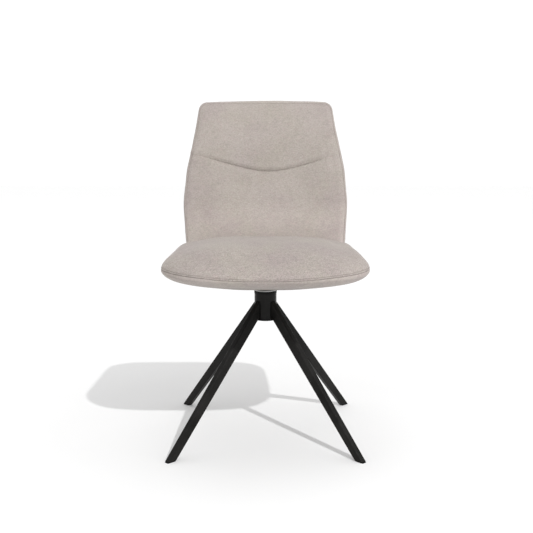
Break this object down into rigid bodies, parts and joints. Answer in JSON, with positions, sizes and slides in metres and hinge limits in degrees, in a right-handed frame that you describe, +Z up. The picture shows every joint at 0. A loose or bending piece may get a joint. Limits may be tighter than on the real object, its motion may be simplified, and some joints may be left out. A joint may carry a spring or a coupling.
{
  "type": "swivel dining chair",
  "caption": "Upholstered dining chair: rounded seat pad and waisted back on a free-turning column with splayed black tapered legs.",
  "frame": {"origin": "on the floor under the swivel axis, in the middle of the four feet", "axes": "+Z up along the swivel axis, -Y the way the sitter faces, +X to the right in a front view"},
  "size_m": [0.5, 0.6169, 0.88],
  "materials": {
    "greige_fabric": "matte suede-like weave, warm pinkish grey",
    "dust_cover": "black non-woven",
    "foam": "open-cell polyurethane foam",
    "black_frame": "satin black powder coat",
    "black_plastic": "moulded, fine texture",
    "bearing_grey": "light grey acetal",
    "zinc_steel": "zinc plated",
    "plywood": "raw plywood"
  },
  "bodies": {
    "base": {"column_tube": "black_frame", "column_top_collar": "black_plastic", "column_bottom_cap": "black_plastic", "upper_flanged_bushing": "bearing_grey", "lower_bushing": "bearing_grey", "front_left_leg": "black_frame", "front_right_leg": "black_frame", "rear_left_leg": "black_frame", "rear_right_leg": "black_frame", "front_left_glide": "black_plastic", "front_right_glide": "black_plastic", "rear_left_glide": "black_plastic", "rear_right_glide": "black_plastic"},
    "seat": {"back_board": "plywood", "back_edge_band": "greige_fabric", "back_front_cover": "greige_fabric", "back_front_foam": "foam", "back_rear_cover": "greige_fabric", "back_rear_foam": "foam", "back_t_nuts": "zinc_steel", "bracket_back_bolts": "zinc_steel", "bracket_seat_bolts": "zinc_steel", "left_back_bracket": "black_frame", "right_back_bracket": "black_frame", "seat_board": "plywood", "seat_edge_band": "greige_fabric", "seat_edge_foam": "foam", "seat_foam": "foam", "seat_mounting_plate": "black_frame", "seat_plate_bolts": "zinc_steel", "seat_plate_washers": "zinc_steel", "seat_t_nuts": "zinc_steel", "seat_top_cover": "greige_fabric", "seat_underframe_rails": "plywood", "seat_underside_cover": "dust_cover", "spindle_lower_washer": "zinc_steel", "spindle_retaining_ring": "zinc_steel", "spindle_thrust_washer": "bearing_grey", "swivel_spindle": "black_frame"}
  },
  "joints": [
    {"name": "seat_swivel", "type": "hinge", "parent": "base", "child": "seat", "pos_m": [0, 0, 0.384], "axis": [0, 0, 1], "continuous": true}
  ]
}
